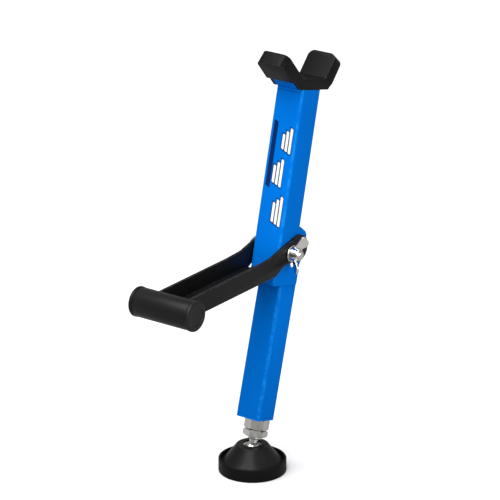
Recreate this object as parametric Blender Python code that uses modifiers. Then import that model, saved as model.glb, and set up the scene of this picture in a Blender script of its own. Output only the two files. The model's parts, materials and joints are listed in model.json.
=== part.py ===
"""Portable wheel-lift repair stand: a folding single leg with a foot lever.

World frame: metres, +Z up.  The origin is the centre of the round foot's sole, on the floor.
-X is the side of the foot lever, +X is the side that the folded lower leg swings to,
-Y is the side of the wing nut.  The foot stands flat and the leg leans over towards +X.

Two empties carry the leg.  stem_frame sits at the foot's ball and leans with the lower leg.
knee_frame sits on the knee pin and leans with the upper leg.  Both keep Y level, so every
pivot of the knee and the lever runs along Y.
"""
import math

import bmesh
import bpy
from mathutils import Matrix, Vector

MM = 0.001

# ---- driving dimensions -------------------------------------------------------------------
GAP = 0.3 * MM                      # between pieces that touch

FOOT_RADIUS = 30.0 * MM
RIM_HEIGHT = 12.0 * MM
RIM_WALL = 2.0 * MM
SOLE_THICKNESS = 3.5 * MM
GROOVE = 0.6 * MM                   # open ring between the rubber rim and the cone
FLANGE_TOP = 9.0 * MM               # top of the housing's flange, inside the rim
CONE_TOP = 24.5 * MM
CONE_TOP_RADIUS = 14.2 * MM

BELL_POWER = 1.12                   # how hollow the cone's side is
BELL_STEPS = 6

BALL_RADIUS = 8.0 * MM
BALL_HEIGHT = 19.0 * MM             # centre of the ball above the floor
SEAT_WALL = 1.2 * MM
MOUTH_RADIUS = BALL_RADIUS + 0.2 * MM   # opening that the neck comes out of
NECK_RADIUS = 4.2 * MM

STEM_RADIUS = 6.0 * MM              # M12
STEM_THREAD_START = 10.5 * MM       # above the ball's centre
STEM_TOP = 60.0 * MM
HEX_FLATS = 19.0 * MM
HEX_PARK_DEG = 36.5                 # a flat of each nut points this far round from +X
JAM_NUT_HEIGHT = 6.0 * MM
COUPLING_NUT_HEIGHT = 10.0 * MM
JAM_NUT_BASE = 12.6 * MM            # above the ball's centre
STEM_OFFSET = 4.5 * MM              # stem axis behind the lower tube's axis

UPPER_TUBE = 28.2 * MM
UPPER_WALL = 1.3 * MM
LOWER_TUBE = UPPER_TUBE - 2 * (UPPER_WALL + GAP)     # nests in the upper tube's sleeve
LOWER_WALL = 1.5 * MM
CORNER_RADIUS = 3.0 * MM
END_PLATE = 2.0 * MM

KNEE_HEIGHT = 184.6 * MM            # knee pin above the ball's centre, along the lower leg
KNEE_OFFSET = 12.4 * MM             # knee pin behind the upper tube's axis
KNEE_SET_DEG = 1.85                 # how far past straight the locked knee sits
UPPER_LEAN_DEG = 13.95              # upper leg's lean towards +X when the foot is flat

TUBE_TOP = 139.2 * MM               # above the knee pin
SLEEVE_BOTTOM = -33.2 * MM
SLEEVE_BACK = 20.0 * MM             # side plates' back edge, from the upper tube's axis
BACK_WALL_END = 16.0 * MM           # the tube's back wall stops this far above the knee pin
EAR_BACK = 12.2 * MM                # ear's back edge behind the knee pin
EAR_SHOULDER = 13.9 * MM
EAR_TOP = 18.4 * MM
LOCK_HOLE_RADIUS = 4.4 * MM
LOCK_HOLE_BACK = -1.8 * MM          # from the knee pin
LOCK_HOLE_DROP = 13.2 * MM

PIN_RADIUS = 4.0 * MM
BOLT_RADIUS = 4.0 * MM
BOLT_UNDER = 0.2 * MM               # the bolt's spacer reaches this far under the bushes
BOLT_Z = -4.0 * MM                  # lever bolt from the knee pin
SPACER_RADIUS = BOLT_RADIUS + 1.0 * MM  # sleeve on the lever bolt, the knee's stop
KNEE_BUSH_RADIUS = PIN_RADIUS + 2.6 * MM
TONGUE_THICKNESS = 8.0 * MM
TONGUE_TOP_RADIUS = KNEE_BUSH_RADIUS
LOWER_TUBE_TOP = -24.0 * MM         # below the knee pin

LEVER_SHEET = 2.4 * MM
LEVER_SIDE_GAP = 0.4 * MM           # between the sleeve's side and a lever arm
ARM_EYE_RADIUS = 12.2 * MM
ARM_DEPTH = 17.6 * MM
ARM_SLOPE_DEG = 14.6                # outer part of the lever, below square to the upper tube
ARM_KNUCKLE_X = -48.0 * MM          # where the arms bend, from the upper tube's axis
ARM_HEEL_X = -17.5 * MM             # rear lower corner of the arms
RELIEF_WIDTH = 4.0 * MM             # bend relief beside the web's rear edge
PEDAL_X = -147.4 * MM               # from the upper tube's axis
PEDAL_Z = -48.2 * MM                # from the knee pin
PEDAL_RADIUS = 12.8 * MM
PEDAL_WALL = 1.5 * MM
PEDAL_LENGTH = 56.0 * MM
CAP_RADIUS = 13.2 * MM
CAP_LIP = 3.0 * MM
CAP_PLUG_DEPTH = 9.0 * MM

WASHER_RADIUS = BOLT_RADIUS + 3.5 * MM
WASHER_THICKNESS = 1.4 * MM
BOLT_HEAD_HEIGHT = 5.0 * MM
BOLT_HEAD_FLATS = 13.0 * MM
WING_HUB_RADIUS = BOLT_RADIUS + 2.2 * MM
WING_HUB_TOP_RADIUS = BOLT_RADIUS + 0.9 * MM
WING_HUB_HEIGHT = 7.5 * MM
WING_REACH = 16.0 * MM              # wing tip from the bolt's axis
WING_RISE = 13.0 * MM               # wing tip above the washer
WING_THICKNESS = 2.2 * MM
WING_TWIST_DEG = 34.0
WING_PARK_DEG = -100.0              # how far round the nut is left when tight

SADDLE_SHEET = 4.0 * MM
SADDLE_WIDTH = 22.0 * MM
SADDLE_FRONT_BEND = -18.5 * MM      # underside bends, from the upper tube's axis
SADDLE_BACK_BEND = 24.0 * MM
SADDLE_FRONT_ANGLE = 36.0           # degrees above the base
SADDLE_BACK_ANGLE = 62.0
SADDLE_FRONT_ARM = 35.0 * MM
SADDLE_BACK_ARM = 27.0 * MM
BOOT_WIDTH = 28.2 * MM
BOOT_INNER = 5.6 * MM               # rubber over the plate, inside the cradle
BOOT_OUTER = 2.4 * MM               # rubber under the arms
BOOT_TIP = 3.0 * MM                 # rubber past the arms' ends
BOOT_BARE_FRONT = 12.0 * MM         # bare plate between the bend and the rubber
BOOT_BARE_BACK = 5.0 * MM
WELD_LEG = 3.0 * MM

ROUND_STEPS = 24                    # sides of a small round piece
FOOT_STEPS = 40

# ---- sizes that follow ---------------------------------------------------------------------
LOWER_LEAN_DEG = UPPER_LEAN_DEG + KNEE_SET_DEG
BOLT_X = KNEE_OFFSET - KNEE_BUSH_RADIUS - SPACER_RADIUS + BOLT_UNDER    # from the tube's axis
KNEE_FROM_STEM = -STEM_OFFSET       # the lower tube's axis, seen from the stem's
TUBE_HALF = UPPER_TUBE / 2
INNER_HALF = TUBE_HALF - UPPER_WALL
ARM_INNER_Y = TUBE_HALF + LEVER_SIDE_GAP
ARM_OUTER_Y = ARM_INNER_Y + LEVER_SHEET
HEX_RADIUS = HEX_FLATS / math.sqrt(3)
JAM_NUT_TOP = JAM_NUT_BASE + JAM_NUT_HEIGHT
COUPLING_BASE = JAM_NUT_TOP + GAP
COUPLING_TOP = COUPLING_BASE + COUPLING_NUT_HEIGHT
END_PLATE_BASE = COUPLING_TOP + GAP
LOWER_TUBE_END = END_PLATE_BASE + END_PLATE + GAP - KNEE_HEIGHT


# ---- helpers -------------------------------------------------------------------------------
def clear_scene():
    for thing in list(bpy.data.objects):
        bpy.data.objects.remove(thing, do_unlink=True)


def new_collection(name):
    made = bpy.data.collections.new(name)
    bpy.context.scene.collection.children.link(made)
    return made


def finish(name, rgb, roughness, metallic=0.0):
    material = bpy.data.materials.new(name)
    material.use_nodes = True
    shader = material.node_tree.nodes["Principled BSDF"]
    shader.inputs["Base Color"].default_value = (*rgb, 1.0)
    shader.inputs["Roughness"].default_value = roughness
    shader.inputs["Metallic"].default_value = metallic
    return material


def frame_empty(name, place, lean_deg):
    empty = bpy.data.objects.new(name, None)
    empty.location = place
    empty.rotation_euler = (0.0, math.radians(lean_deg), 0.0)
    parts.objects.link(empty)
    return empty


def settle(item, parent, place, turn=(0.0, 0.0, 0.0)):
    """Put an object under a frame empty, turned by degrees about X, Y and Z."""
    item.parent = parent
    item.location = place
    item.rotation_euler = tuple(math.radians(angle) for angle in turn)
    return item


def add_piece(name, mesh, material):
    piece = bpy.data.objects.new(name, mesh)
    parts.objects.link(piece)
    mesh.materials.clear()
    mesh.materials.append(material)
    mesh.shade_smooth()
    mesh.set_sharp_from_angle(angle=math.radians(35))
    return piece


def add_cutter(name, mesh):
    cutter = bpy.data.objects.new(name, mesh)
    cutters.objects.link(cutter)
    cutter.hide_render = True
    cutter.display_type = "WIRE"
    return cutter


def combine(piece, other, operation):
    """Boolean of one mesh object with another that moves with the same frame."""
    step = piece.modifiers.new(operation.lower(), "BOOLEAN")
    step.operation = operation
    step.solver = "EXACT"
    step.object = other


def arc(centre, radius, start_deg, end_deg, steps):
    """Points along an arc, both ends included."""
    points = []
    for step in range(steps + 1):
        angle = math.radians(start_deg + (end_deg - start_deg) * step / steps)
        points.append((centre[0] + radius * math.cos(angle), centre[1] + radius * math.sin(angle)))
    return points


def rounded(corners, steps=4):
    """Outline from (x, y, radius) corners, each radius turned into a short arc."""
    outline = []
    count = len(corners)
    for index, (x, y, radius) in enumerate(corners):
        here = Vector((x, y))
        if radius == 0:
            outline.append((x, y))
            continue
        before = (Vector(corners[index - 1][:2]) - here).normalized()
        after = (Vector(corners[(index + 1) % count][:2]) - here).normalized()
        half = before.angle(after) / 2
        centre = here + (before + after).normalized() * (radius / math.sin(half))
        first = here + before * (radius / math.tan(half)) - centre
        last = here + after * (radius / math.tan(half)) - centre
        sweep = first.angle_signed(last)
        for step in range(steps + 1):
            turned_point = first.copy()
            turned_point.rotate(Matrix.Rotation(-sweep * step / steps, 2))
            outline.append(tuple(centre + turned_point))
    return outline


def square_outline(size, radius):
    half = size / 2
    return rounded([(-half, -half, radius), (half, -half, radius), (half, half, radius),
                    (-half, half, radius)])


def slab_mesh(name, outline, thickness):
    """A flat outline in XY with a thickness along Z, centred, as a closed mesh."""
    curve = bpy.data.curves.new(name, "CURVE")
    curve.dimensions = "2D"
    curve.fill_mode = "BOTH"
    curve.extrude = thickness / 2
    spline = curve.splines.new("POLY")
    spline.points.add(len(outline) - 1)
    for point, (x, y) in zip(spline.points, outline):
        point.co = (x, y, 0.0, 1.0)
    spline.use_cyclic_u = True
    holder = bpy.data.objects.new(name, curve)
    bpy.context.scene.collection.objects.link(holder)
    evaluated = holder.evaluated_get(bpy.context.evaluated_depsgraph_get())
    mesh = bpy.data.meshes.new_from_object(evaluated)
    bpy.data.objects.remove(holder)
    bpy.data.curves.remove(curve)
    shape = bmesh.new()
    shape.from_mesh(mesh)
    bmesh.ops.remove_doubles(shape, verts=shape.verts, dist=1e-6)
    bmesh.ops.recalc_face_normals(shape, faces=shape.faces)
    shape.to_mesh(mesh)
    shape.free()
    mesh.name = name
    return mesh


def cylinder_mesh(name, radius, length, sides=ROUND_STEPS, top_radius=None):
    mesh = bpy.data.meshes.new(name)
    shape = bmesh.new()
    bmesh.ops.create_cone(shape, cap_ends=True, segments=sides, radius1=radius,
                          radius2=radius if top_radius is None else top_radius, depth=length)
    shape.to_mesh(mesh)
    shape.free()
    return mesh


def box_mesh(name, low, high):
    mesh = bpy.data.meshes.new(name)
    shape = bmesh.new()
    bmesh.ops.create_cube(shape, size=1.0)
    size = [top - bottom for bottom, top in zip(low, high)]
    middle = [(top + bottom) / 2 for bottom, top in zip(low, high)]
    bmesh.ops.scale(shape, vec=size, verts=shape.verts)
    bmesh.ops.translate(shape, vec=middle, verts=shape.verts)
    shape.to_mesh(mesh)
    shape.free()
    return mesh


def turned_piece(name, profile, material, closed, steps=ROUND_STEPS):
    """A profile of (radius, height) points, outer side first and downwards, spun about Z."""
    mesh = bpy.data.meshes.new(name)
    edges = [(index, index + 1) for index in range(len(profile) - 1)]
    if closed:
        edges.append((len(profile) - 1, 0))
    mesh.from_pydata([(radius, 0.0, height) for radius, height in profile], edges, [])
    piece = bpy.data.objects.new(name, mesh)
    parts.objects.link(piece)
    mesh.materials.append(material)
    spin = piece.modifiers.new("turn", "SCREW")
    spin.steps = steps
    spin.render_steps = steps
    spin.use_merge_vertices = True
    spin.merge_threshold = 0.00001
    return piece


def ring_piece(name, outer, inner, length, material, steps=ROUND_STEPS):
    half = length / 2
    profile = [(outer, half), (outer, -half), (inner, -half), (inner, half)]
    return turned_piece(name, profile, material, closed=True, steps=steps)


def cross_hole(piece, parent, name, x, z, radius, reach, sides=ROUND_STEPS):
    """Drill a hole along Y."""
    drill = add_cutter(name, cylinder_mesh(name, radius, reach, sides))
    settle(drill, parent, (x, 0.0, z), (90, 0, 0))
    combine(piece, drill, "DIFFERENCE")


# ---- the foot and its ball joint -----------------------------------------------------------
def sphere_arc(radius, start_deg, end_deg, steps):
    """Points on a sphere about the ball's centre; angles from the equator, in floor height."""
    return arc((0.0, BALL_HEIGHT), radius, start_deg, end_deg, steps)


def angle_at(radius, reach):
    """Latitude where a sphere of this radius is `reach` from the axis."""
    return math.degrees(math.acos(reach / radius))


SEAT_INNER = BALL_RADIUS + GAP
SEAT_OUTER = SEAT_INNER + SEAT_WALL
SOCKET_RADIUS = SEAT_OUTER + GAP
RING_LOW_LAT = 1.5                  # latitude, in degrees, where the upper seat begins
CUP_TOP_LAT = -18.0                 # the cup stays clear of the ring as the ring tips
CUP_LOW_LAT = -72.0
SOCKET_LOW_LAT = -78.0


def make_foot(rubber, black):
    housing_base = SOLE_THICKNESS + GAP
    flange_radius = FOOT_RADIUS - RIM_WALL - GAP
    cone_radius = flange_radius - GROOVE
    mouth_lat = angle_at(SOCKET_RADIUS, MOUTH_RADIUS)
    bell = []
    for step in range(BELL_STEPS + 1):
        share = step / BELL_STEPS
        reach = CONE_TOP_RADIUS + (cone_radius - CONE_TOP_RADIUS) * share
        bell.append((reach, FLANGE_TOP + (CONE_TOP - FLANGE_TOP) * (1 - share) ** BELL_POWER))
    profile = bell + [(flange_radius, FLANGE_TOP - GROOVE), (flange_radius, housing_base)]
    bottom = sphere_arc(SOCKET_RADIUS, SOCKET_LOW_LAT, mouth_lat, 12)
    profile += [(bottom[0][0], housing_base)] + bottom + [(MOUTH_RADIUS, CONE_TOP)]
    turned_piece("foot_housing", profile, black, closed=True, steps=FOOT_STEPS)

    rim = [(FOOT_RADIUS, RIM_HEIGHT), (FOOT_RADIUS, 0.0), (0.0, 0.0)]
    inside = [(0.0, SOLE_THICKNESS), (FOOT_RADIUS - RIM_WALL, SOLE_THICKNESS),
              (FOOT_RADIUS - RIM_WALL, RIM_HEIGHT)]
    turned_piece("foot_rubber", inside + rim, rubber, closed=False, steps=FOOT_STEPS)


def make_ball_seats(bush):
    """Two loose liners: a cup below the ball's middle and a ring above it."""
    cup_outer = sphere_arc(SEAT_OUTER, CUP_TOP_LAT, CUP_LOW_LAT, 8)
    cup_inner = sphere_arc(SEAT_INNER, CUP_LOW_LAT, CUP_TOP_LAT, 8)
    turned_piece("ball_seat_cup", cup_outer + cup_inner, bush, closed=True)
    top_lat = angle_at(SEAT_INNER, MOUTH_RADIUS - 0.9 * MM)
    ring_outer = sphere_arc(SEAT_OUTER, top_lat, RING_LOW_LAT, 5)
    ring_inner = sphere_arc(SEAT_INNER, RING_LOW_LAT, top_lat, 5)
    turned_piece("ball_seat_ring", ring_outer + ring_inner, bush, closed=True)


def make_stem(frame, steel):
    """Ball stud: a threaded rod, its neck and the ball, turned in one piece."""
    neck_lat = angle_at(BALL_RADIUS, NECK_RADIUS)
    ball = arc((0.0, 0.0), BALL_RADIUS, neck_lat, -90, 12)
    chamfer = 1.0 * MM
    profile = [(0.0, STEM_TOP), (STEM_RADIUS - chamfer, STEM_TOP),
               (STEM_RADIUS, STEM_TOP - chamfer),
               (STEM_RADIUS, STEM_THREAD_START + chamfer), (NECK_RADIUS, STEM_THREAD_START - 0.6 * MM)]
    stem = turned_piece("ball_stem", profile + ball, steel, closed=False)
    settle(stem, frame, (0, 0, 0))


def hex_nut(name, frame, base, height, steel):
    nut = add_piece(name, cylinder_mesh(name, HEX_RADIUS, height, 6), steel)
    settle(nut, frame, (0, 0, base + height / 2), (0, 0, HEX_PARK_DEG))
    bore = add_cutter(name + "_bore", cylinder_mesh(name + "_bore", STEM_RADIUS + GAP, height * 2))
    settle(bore, frame, (0, 0, base + height / 2))
    combine(nut, bore, "DIFFERENCE")


# ---- the lower leg -------------------------------------------------------------------------
def square_tube(name, frame, size, wall, low, high, x, material):
    length = high - low
    tube = add_piece(name, slab_mesh(name, square_outline(size, CORNER_RADIUS), length), material)
    settle(tube, frame, (x, 0, (high + low) / 2))
    inside = square_outline(size - 2 * wall, CORNER_RADIUS - wall)
    bore = add_cutter(name + "_bore", slab_mesh(name + "_bore", inside, length * 1.2))
    settle(bore, frame, (x, 0, (high + low) / 2))
    combine(tube, bore, "DIFFERENCE")
    return tube


def make_lower_leg(stem_frame, leg_frame, blue):
    """leg_frame sits on the knee pin and is parallel to stem_frame."""
    square_tube("lower_tube", leg_frame, LOWER_TUBE, LOWER_WALL, LOWER_TUBE_END,
                LOWER_TUBE_TOP, 0, blue)

    end = add_piece("lower_end_plate", slab_mesh("lower_end_plate",
                    square_outline(LOWER_TUBE, CORNER_RADIUS), END_PLATE), blue)
    settle(end, stem_frame, (KNEE_FROM_STEM, 0, END_PLATE_BASE + END_PLATE / 2))
    hole = add_cutter("stem_hole", cylinder_mesh("stem_hole", STEM_RADIUS + GAP, 4 * END_PLATE))
    settle(hole, stem_frame, (0, 0, END_PLATE_BASE))
    combine(end, hole, "DIFFERENCE")

    plate_base = LOWER_TUBE_TOP + GAP
    top = add_piece("lower_top_plate", slab_mesh("lower_top_plate",
                    square_outline(LOWER_TUBE, CORNER_RADIUS), END_PLATE), blue)
    settle(top, leg_frame, (0, 0, plate_base + END_PLATE / 2))

    tongue_base = plate_base + END_PLATE + GAP
    stop_face = BOLT_X - KNEE_OFFSET + SPACER_RADIUS + GAP
    outline = arc((0, 0), TONGUE_TOP_RADIUS, 0, 150, 10)
    outline += [(stop_face, 0.0), (stop_face, tongue_base + 5 * MM), (-9 * MM, tongue_base),
                (9 * MM, tongue_base)]
    tongue = add_piece("knee_tongue", slab_mesh("knee_tongue", outline, TONGUE_THICKNESS), blue)
    settle(tongue, leg_frame, (0, 0, 0), (90, 0, 0))
    cross_hole(tongue, leg_frame, "tongue_hole", 0, 0, PIN_RADIUS + GAP, 4 * TONGUE_THICKNESS)


# ---- the upper leg -------------------------------------------------------------------------
def make_upper_tube(frame, blue):
    """Square tube whose lower end is a channel, open at the back, with two ears."""
    low, high = SLEEVE_BOTTOM, TUBE_TOP
    axis = -KNEE_OFFSET
    name = "upper_tube"
    mesh = slab_mesh(name, square_outline(UPPER_TUBE, CORNER_RADIUS), high - low)
    tube = add_piece(name, mesh, blue)
    settle(tube, frame, (axis, 0, (high + low) / 2))

    ear = rounded([(axis, low, 0), (axis + SLEEVE_BACK, low, 2 * MM),
                   (axis + SLEEVE_BACK, -LOCK_HOLE_DROP - 2 * MM, 6 * MM),
                   (EAR_BACK, -6 * MM, 6 * MM), (EAR_BACK, EAR_SHOULDER - 3 * MM, 3 * MM),
                   (EAR_BACK - 2 * MM, EAR_SHOULDER, 3 * MM),
                   (axis + TUBE_HALF - GAP, EAR_TOP, 0), (axis, EAR_TOP, 0)])
    block = add_cutter("ear_block", slab_mesh("ear_block", ear, UPPER_TUBE))
    settle(block, frame, (0, 0, 0), (90, 0, 0))
    combine(tube, block, "UNION")

    inside = square_outline(2 * INNER_HALF, CORNER_RADIUS - UPPER_WALL)
    bore = add_cutter("upper_bore", slab_mesh("upper_bore", inside, 1.5 * (high - low)))
    settle(bore, frame, (axis, 0, (high + low) / 2))
    combine(tube, bore, "DIFFERENCE")

    channel_low = (0.0, -INNER_HALF, 2 * low)
    channel_high = (2 * UPPER_TUBE, INNER_HALF, BACK_WALL_END)
    channel = add_cutter("channel_cut", box_mesh("channel_cut", channel_low, channel_high))
    settle(channel, frame, (axis + INNER_HALF / 2, 0, 0))
    combine(tube, channel, "DIFFERENCE")
    behind_low = (TUBE_HALF, -INNER_HALF, 0.0)
    behind_high = (2 * UPPER_TUBE, INNER_HALF, 2 * EAR_TOP)
    behind = add_cutter("ear_gap_cut", box_mesh("ear_gap_cut", behind_low, behind_high))
    settle(behind, frame, (axis, 0, 0))
    combine(tube, behind, "DIFFERENCE")

    reach = 2 * UPPER_TUBE
    cross_hole(tube, frame, "pin_hole", 0, 0, PIN_RADIUS + GAP, reach)
    cross_hole(tube, frame, "bolt_hole", axis + BOLT_X, BOLT_Z, BOLT_RADIUS + GAP, reach)
    cross_hole(tube, frame, "lock_hole", LOCK_HOLE_BACK, -LOCK_HOLE_DROP, LOCK_HOLE_RADIUS, reach)


def make_knee(frame, steel):
    length = UPPER_TUBE - 2 * GAP
    pin = add_piece("knee_pin", cylinder_mesh("knee_pin", PIN_RADIUS, length), steel)
    settle(pin, frame, (0, 0, 0), (90, 0, 0))
    inner_end = TONGUE_THICKNESS / 2 + GAP
    width = INNER_HALF - GAP - inner_end
    for side, name in ((-1, "knee_bush_near"), (1, "knee_bush_far")):
        bush = ring_piece(name, KNEE_BUSH_RADIUS, PIN_RADIUS + GAP, width, steel)
        settle(bush, frame, (0, side * (inner_end + width / 2), 0), (90, 0, 0))


def grown_cradle(base, outer, inner, tip, round_outer, round_tip):
    """The cradle strip made thicker by outer, inner and tip, with rounded corners."""
    front = math.radians(SADDLE_FRONT_ANGLE)
    back = math.radians(SADDLE_BACK_ANGLE)
    low = base - outer
    sheet = SADDLE_SHEET + outer + inner
    shift_front = outer * math.tan(front / 2)
    shift_back = outer * math.tan(back / 2)
    front_bend = Vector((SADDLE_FRONT_BEND - shift_front, low))
    back_bend = Vector((SADDLE_BACK_BEND + shift_back, low))
    front_dir = Vector((-math.cos(front), math.sin(front)))
    back_dir = Vector((math.cos(back), math.sin(back)))
    front_in = Vector((math.sin(front), math.cos(front))) * sheet
    back_in = Vector((-math.sin(back), math.cos(back))) * sheet
    front_tip = front_bend + front_dir * (SADDLE_FRONT_ARM + tip + shift_front)
    back_tip = back_bend + back_dir * (SADDLE_BACK_ARM + tip + shift_back)
    inner_front = Vector((SADDLE_FRONT_BEND - shift_front + sheet * math.tan(front / 2), low + sheet))
    inner_back = Vector((SADDLE_BACK_BEND + shift_back - sheet * math.tan(back / 2), low + sheet))
    corners = [(front_tip, round_tip), (front_bend, round_outer), (back_bend, round_outer),
               (back_tip, round_tip), (back_tip + back_in, round_tip), (inner_back, round_outer / 2),
               (inner_front, round_outer / 2), (front_tip + front_in, round_tip)]
    return rounded([(point.x, point.y, radius) for point, radius in corners])


def make_saddle(frame, blue, rubber):
    axis = -KNEE_OFFSET
    base = TUBE_TOP + GAP
    plate_outline = grown_cradle(base, 0.0, 0.0, 0.0, 3 * MM, 0)
    plate = add_piece("saddle_plate", slab_mesh("saddle_plate", plate_outline, SADDLE_WIDTH), blue)
    settle(plate, frame, (axis, 0, 0), (90, 0, 0))

    skin = grown_cradle(base, BOOT_OUTER, BOOT_INNER, BOOT_TIP, 6 * MM, 2 * MM)
    boot = add_piece("saddle_boot", slab_mesh("saddle_boot", skin, BOOT_WIDTH), rubber)
    settle(boot, frame, (axis, 0, 0), (90, 0, 0))
    pocket_outline = grown_cradle(base, GAP, GAP, GAP, 3 * MM, 0)
    pocket = add_cutter("boot_pocket", slab_mesh("boot_pocket", pocket_outline,
                        SADDLE_WIDTH + 2 * GAP))
    settle(pocket, frame, (axis, 0, 0), (90, 0, 0))
    combine(boot, pocket, "DIFFERENCE")

    low = base - 4 * BOOT_OUTER
    under = [(SADDLE_FRONT_BEND - BOOT_BARE_FRONT, low), (SADDLE_BACK_BEND + BOOT_BARE_BACK, low),
             (SADDLE_BACK_BEND + BOOT_BARE_BACK, base + BOOT_BARE_BACK),
             (SADDLE_BACK_BEND - GAP, base + 0.5 * SADDLE_SHEET),
             (SADDLE_FRONT_BEND + GAP, base + 0.5 * SADDLE_SHEET),
             (SADDLE_FRONT_BEND - BOOT_BARE_FRONT, base + BOOT_BARE_FRONT
              * math.tan(math.radians(SADDLE_FRONT_ANGLE)) + 0.5 * SADDLE_SHEET)]
    window = add_cutter("boot_window", slab_mesh("boot_window", under, SADDLE_WIDTH + 2 * GAP))
    settle(window, frame, (axis, 0, 0), (90, 0, 0))
    combine(boot, window, "DIFFERENCE")
    skirt = under[:3] + [(SADDLE_BACK_BEND, base), (SADDLE_FRONT_BEND, base),
                         (SADDLE_FRONT_BEND - BOOT_BARE_FRONT, base + BOOT_BARE_FRONT
                          * math.tan(math.radians(SADDLE_FRONT_ANGLE)))]
    trim = add_cutter("boot_skirt_trim", slab_mesh("boot_skirt_trim", skirt, 2 * BOOT_WIDTH))
    settle(trim, frame, (axis, 0, 0), (90, 0, 0))
    combine(boot, trim, "DIFFERENCE")
    seat_low = (-2 * UPPER_TUBE, -UPPER_TUBE, base - 4 * BOOT_OUTER)
    seat_high = (2 * UPPER_TUBE, UPPER_TUBE, base)
    seat = add_cutter("boot_seat", box_mesh("boot_seat", seat_low, seat_high))
    settle(seat, frame, (axis, 0, 0))
    combine(boot, seat, "DIFFERENCE")


def make_saddle_welds(frame, blue):
    """Fillet welds under the saddle's overhang, in front of and behind the tube."""
    half = SADDLE_WIDTH / 2 - GAP
    top = TUBE_TOP
    for name, side in (("saddle_weld_front", -1), ("saddle_weld_back", 1)):
        start = side * (TUBE_HALF + GAP)
        reach = side * WELD_LEG
        outline = [(start, top), (start, top - WELD_LEG),
                   (start + 0.4 * reach, top - 0.6 * WELD_LEG), (start + reach, top)]
        weld = add_piece(name, slab_mesh(name, outline, 2 * half), blue)
        settle(weld, frame, (-KNEE_OFFSET, 0, 0), (90, 0, 0))


# ---- the lever -----------------------------------------------------------------------------
def lever_lines():
    """Upper and lower edge of a lever arm in knee_frame, from the sleeve to the pedal."""
    axis = -KNEE_OFFSET
    slope = math.tan(math.radians(ARM_SLOPE_DEG))
    half = ARM_DEPTH / 2 / math.cos(math.radians(ARM_SLOPE_DEG))
    pedal_x = axis + PEDAL_X

    def upper(x):
        return PEDAL_Z + half + slope * (x - pedal_x)

    def lower(x):
        return PEDAL_Z - half + slope * (x - pedal_x)

    return upper, lower, pedal_x


def arm_outline():
    upper, lower, pedal_x = lever_lines()
    axis = -KNEE_OFFSET
    knuckle = axis + ARM_KNUCKLE_X
    heel = axis + ARM_HEEL_X
    eye = arc((0, 0), ARM_EYE_RADIUS, -108, 118, 14)
    top = [(axis - 16 * MM, -0.4 * MM, 14 * MM), (axis - 28.5 * MM, -7.2 * MM, 18 * MM),
           (knuckle, upper(knuckle), 22 * MM), (pedal_x, upper(pedal_x), 0)]
    bottom = [(pedal_x, lower(pedal_x), 0), (heel, lower(heel) - 0.4 * MM, 3.5 * MM),
              (axis - 6.5 * MM, -14.5 * MM, 6 * MM)]
    corners = [(*eye[0], 0)] + [(*point, 0) for point in eye[1:-1]] + [(*eye[-1], 0)]
    return rounded(corners + top + bottom, steps=3)


def make_lever(frame, black, plastic):
    upper, lower, pedal_x = lever_lines()
    axis = -KNEE_OFFSET
    name = "lever_channel"
    lever = add_piece(name, slab_mesh(name, arm_outline(), 2 * ARM_OUTER_Y), black)
    settle(lever, frame, (0, 0, 0), (90, 0, 0))

    web_back = axis - TUBE_HALF - GAP
    far = pedal_x - 2 * PEDAL_RADIUS
    high = 3 * ARM_EYE_RADIUS
    hollow = [(far, lower(far) + LEVER_SHEET * 1.03), (web_back, lower(web_back) + LEVER_SHEET * 1.03),
              (web_back, -3 * ARM_DEPTH), (2 * high, -3 * ARM_DEPTH), (2 * high, high), (far, high)]
    space = add_cutter("lever_hollow", slab_mesh("lever_hollow", hollow, 2 * ARM_INNER_Y))
    settle(space, frame, (0, 0, 0), (90, 0, 0))
    combine(lever, space, "DIFFERENCE")

    for side, word in ((-1, "near"), (1, "far")):
        edge = side * ARM_INNER_Y
        inner = side * (ARM_INNER_Y - RELIEF_WIDTH)
        low = (web_back - RELIEF_WIDTH, min(edge, inner), lower(web_back) - LEVER_SHEET)
        top = (web_back + RELIEF_WIDTH, max(edge, inner), lower(web_back) + 2 * LEVER_SHEET)
        notch = add_cutter("relief_" + word, box_mesh("relief_" + word, low, top))
        settle(notch, frame, (0, 0, 0))
        combine(lever, notch, "DIFFERENCE")

    cope = add_cutter("pedal_cope", cylinder_mesh("pedal_cope", PEDAL_RADIUS + GAP, 4 * ARM_OUTER_Y))
    settle(cope, frame, (pedal_x, 0, PEDAL_Z), (90, 0, 0))
    combine(lever, cope, "DIFFERENCE")
    cross_hole(lever, frame, "lever_hole", axis + BOLT_X, BOLT_Z, BOLT_RADIUS + GAP, 4 * UPPER_TUBE)

    tube = ring_piece("pedal_tube", PEDAL_RADIUS, PEDAL_RADIUS - PEDAL_WALL, PEDAL_LENGTH, black)
    settle(tube, frame, (pedal_x, 0, PEDAL_Z), (90, 0, 0))
    for side, word in ((-1, "near"), (1, "far")):
        plug = PEDAL_RADIUS - PEDAL_WALL - GAP
        hollow_radius = plug - 1.5 * MM
        face = CAP_LIP
        profile = [(0, face), (CAP_RADIUS - 1.0 * MM, face), (CAP_RADIUS, face - 1.0 * MM),
                   (CAP_RADIUS, 0), (plug, 0), (plug, -CAP_PLUG_DEPTH),
                   (hollow_radius, -CAP_PLUG_DEPTH), (hollow_radius, 1.0 * MM), (0, 1.0 * MM)]
        cap = turned_piece("pedal_cap_" + word, profile, plastic, closed=False)
        place = side * (PEDAL_LENGTH / 2 + GAP)
        settle(cap, frame, (pedal_x, place, PEDAL_Z), (-side * 90, 0, 0))


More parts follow.
